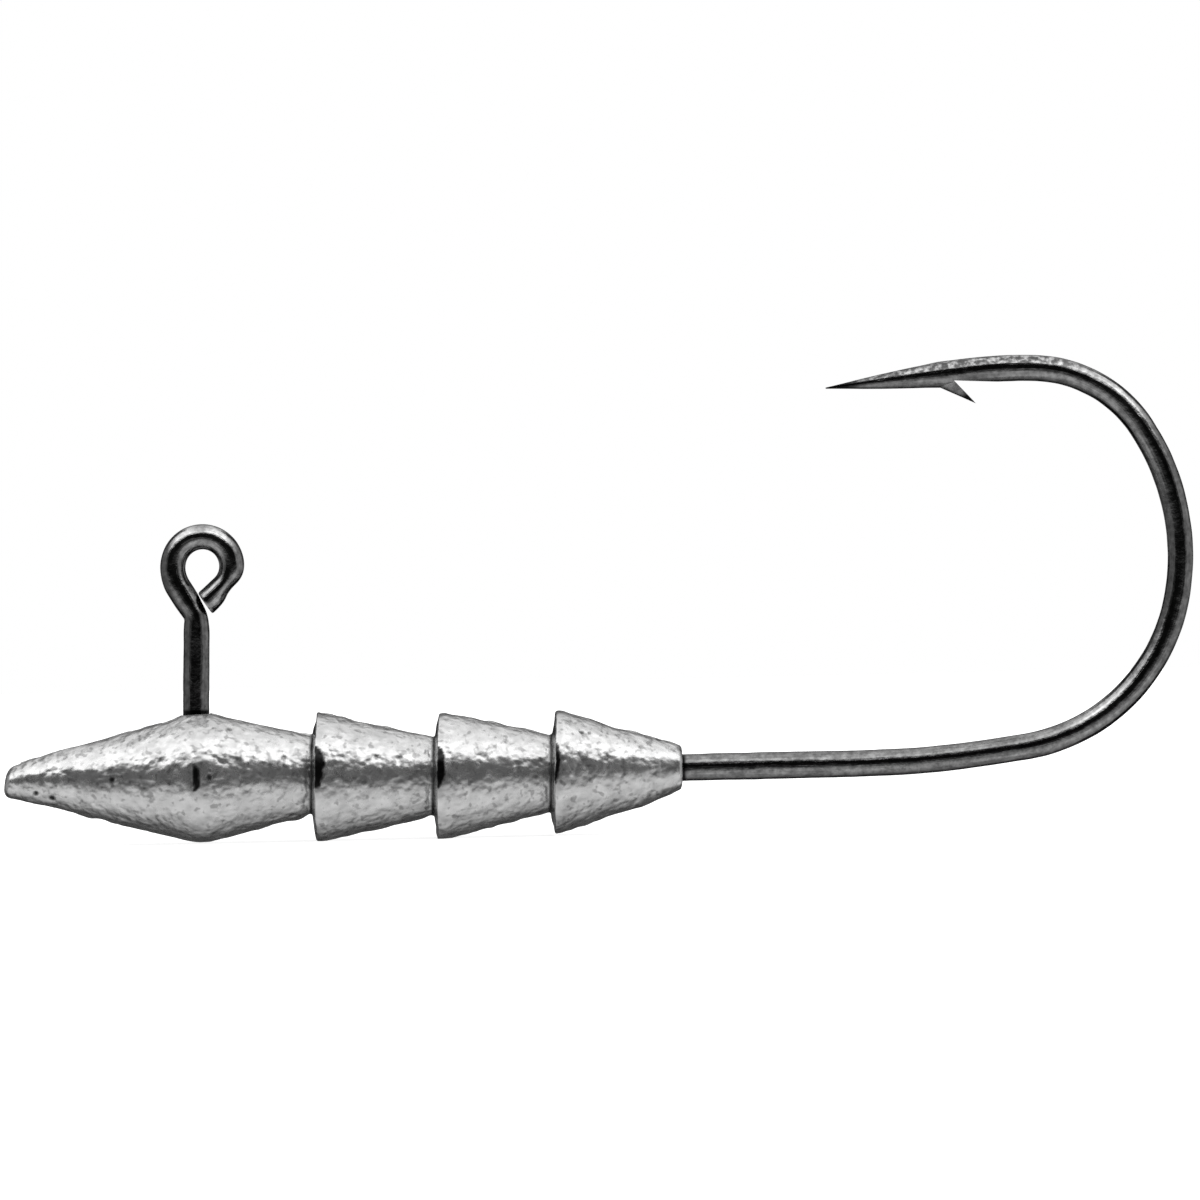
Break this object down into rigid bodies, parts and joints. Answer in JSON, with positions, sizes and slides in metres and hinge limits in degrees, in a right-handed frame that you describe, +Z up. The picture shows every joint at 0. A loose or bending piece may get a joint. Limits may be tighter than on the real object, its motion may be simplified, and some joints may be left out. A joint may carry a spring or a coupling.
{
  "type": "jig head",
  "caption": "Slim two-cone lead jig head with barbed bait-keeper collars, cast round a right-angle eyed hook with a round bend and a barbed point.",
  "frame": {"origin": "centre of the line eye", "axes": "+X along the body and shank, from the nose to the hook's bend; +Z up, to the side the eye and the hook point stand on; the hook lies in the plane Y = 0"},
  "size_m": [0.057, 0.0062, 0.0224],
  "materials": {
    "black_nickel": "black nickel plate, glossy",
    "cast_lead": "bare lead as cast, dull and pitted"
  },
  "bodies": {
    "root": {"hook": "black_nickel", "lead_head": "cast_lead"}
  },
  "joints": []
}
